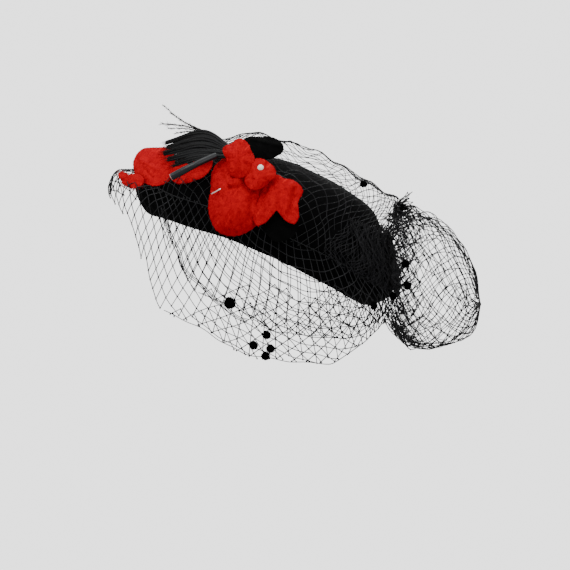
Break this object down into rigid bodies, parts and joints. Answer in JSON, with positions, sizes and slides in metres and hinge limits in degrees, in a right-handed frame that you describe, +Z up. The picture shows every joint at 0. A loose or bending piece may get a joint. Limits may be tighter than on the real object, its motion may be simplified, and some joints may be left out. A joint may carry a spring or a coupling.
{
  "type": "toque hat with net veil",
  "caption": "Brimless velvet toque with a puffed net veil, velvet flowers, cut quills and a pearl-headed pin.",
  "frame": {"origin": "the middle of the rim, where a head carries the hat", "axes": "+X to the wearer's left, -Y the way the wearer faces, +Z up, with the hat tipped back by 22 degrees as worn"},
  "size_m": [0.2141, 0.3563, 0.232],
  "materials": {
    "velvet_black": "black velvet, deep matt pile",
    "velvet_red": "saturated red velvet, mottled, creased",
    "velvet_leaf": "black velvet leaf",
    "net_black": "stiff black net of fine cords, semi-matt",
    "chenille_black": "fuzzy chenille",
    "quill_black": "satin to glossy stripped quill",
    "feather_black": "fine wisps, satin",
    "pearl": "cream pearl lacquer",
    "pin_steel": "thin bright wire"
  },
  "bodies": {
    "root": {"crown_gore_1": "velvet_black", "crown_gore_2": "velvet_black", "crown_gore_3": "velvet_black", "crown_gore_4": "velvet_black", "crown_gore_5": "velvet_black", "crown_gore_6": "velvet_black", "crown_gore_7": "velvet_black", "crown_gore_8": "velvet_black", "crown_crest": "velvet_black", "veil_front": "net_black", "veil_left": "net_black", "veil_right": "net_black", "veil_crown": "net_black", "veil_pouf": "net_black", "veil_gather": "net_black", "front_petal_low": "velvet_red", "front_petal_lobe": "velvet_red", "front_petal_back": "velvet_red", "front_petal_tail": "velvet_red", "rear_petal_main": "velvet_red", "rear_petal_tip": "velvet_red", "rear_petal_wing": "velvet_red", "leaf_upper": "velvet_leaf", "leaf_lower": "velvet_leaf", "quill_top": "quill_black", "quill_upper": "quill_black", "quill_middle": "quill_black", "quill_lower": "quill_black", "quill_inner": "quill_black", "quill_rolled": "quill_black", "feather": "feather_black", "pin_shaft": "pin_steel", "pin_head": "pearl", "dot_cheek": "chenille_black", "dot_hem_1": "chenille_black", "dot_hem_2": "chenille_black", "dot_hem_3": "chenille_black", "dot_hem_4": "chenille_black", "dot_nape": "chenille_black", "dot_crest": "chenille_black", "dot_pouf_1": "chenille_black", "dot_pouf_2": "chenille_black", "dot_pouf_3": "chenille_black", "dot_pouf_4": "chenille_black"}
  },
  "joints": []
}
